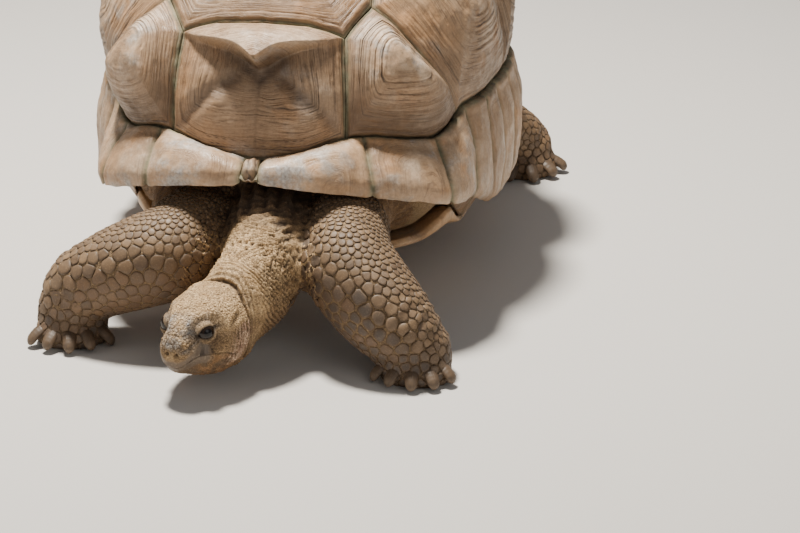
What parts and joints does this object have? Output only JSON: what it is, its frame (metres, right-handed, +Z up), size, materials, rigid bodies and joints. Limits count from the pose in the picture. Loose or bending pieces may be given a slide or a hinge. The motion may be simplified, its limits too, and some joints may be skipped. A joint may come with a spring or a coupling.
{
  "type": "giant tortoise",
  "caption": "Life-size still model of a giant tortoise on four feet, neck stretched forward and head turned a little to its right.",
  "frame": {"origin": "middle of the bounding box in plan, on the floor", "axes": "+Z up, the head points along -Y, the animal's left side is +X"},
  "size_m": [0.7536, 1.1832, 0.6238],
  "materials": {
    "horn": "dry horn with growth rings, worn smooth on the bosses",
    "horn_light": "dry horn of the underside",
    "skin": "dry wrinkled skin",
    "scale_skin": "skin set with horny scales",
    "claw": "blunt worn horn",
    "eye": "wet and dark"
  },
  "bodies": {
    "root": {"vertebral_1": "horn", "vertebral_2": "horn", "vertebral_3": "horn", "vertebral_4": "horn", "vertebral_5": "horn", "costal_left_1": "horn", "costal_left_2": "horn", "costal_left_3": "horn", "costal_left_4": "horn", "costal_right_1": "horn", "costal_right_2": "horn", "costal_right_3": "horn", "costal_right_4": "horn", "marginals_left_front": "horn", "marginals_left_bridge": "horn", "marginals_left_rear": "horn", "marginals_right_front": "horn", "marginals_right_bridge": "horn", "marginals_right_rear": "horn", "nuchal": "horn", "supracaudal": "horn", "plastron": "horn_light", "trunk": "skin", "head": "skin", "lower_jaw": "skin", "neck": "skin", "tail": "skin", "leg_front_left": "scale_skin", "leg_front_right": "scale_skin", "leg_hind_left": "scale_skin", "leg_hind_right": "scale_skin", "foot_front_left": "scale_skin", "foot_front_right": "scale_skin", "foot_hind_left": "scale_skin", "foot_hind_right": "scale_skin", "claw_front_left_1": "claw", "claw_front_left_2": "claw", "claw_front_left_3": "claw", "claw_front_left_4": "claw", "claw_front_left_5": "claw", "claw_front_right_1": "claw", "claw_front_right_2": "claw", "claw_front_right_3": "claw", "claw_front_right_4": "claw", "claw_front_right_5": "claw", "claw_hind_left_1": "claw", "claw_hind_left_2": "claw", "claw_hind_left_3": "claw", "claw_hind_left_4": "claw", "claw_hind_right_1": "claw", "claw_hind_right_2": "claw", "claw_hind_right_3": "claw", "claw_hind_right_4": "claw", "eye_left": "eye", "eye_right": "eye"}
  },
  "joints": []
}
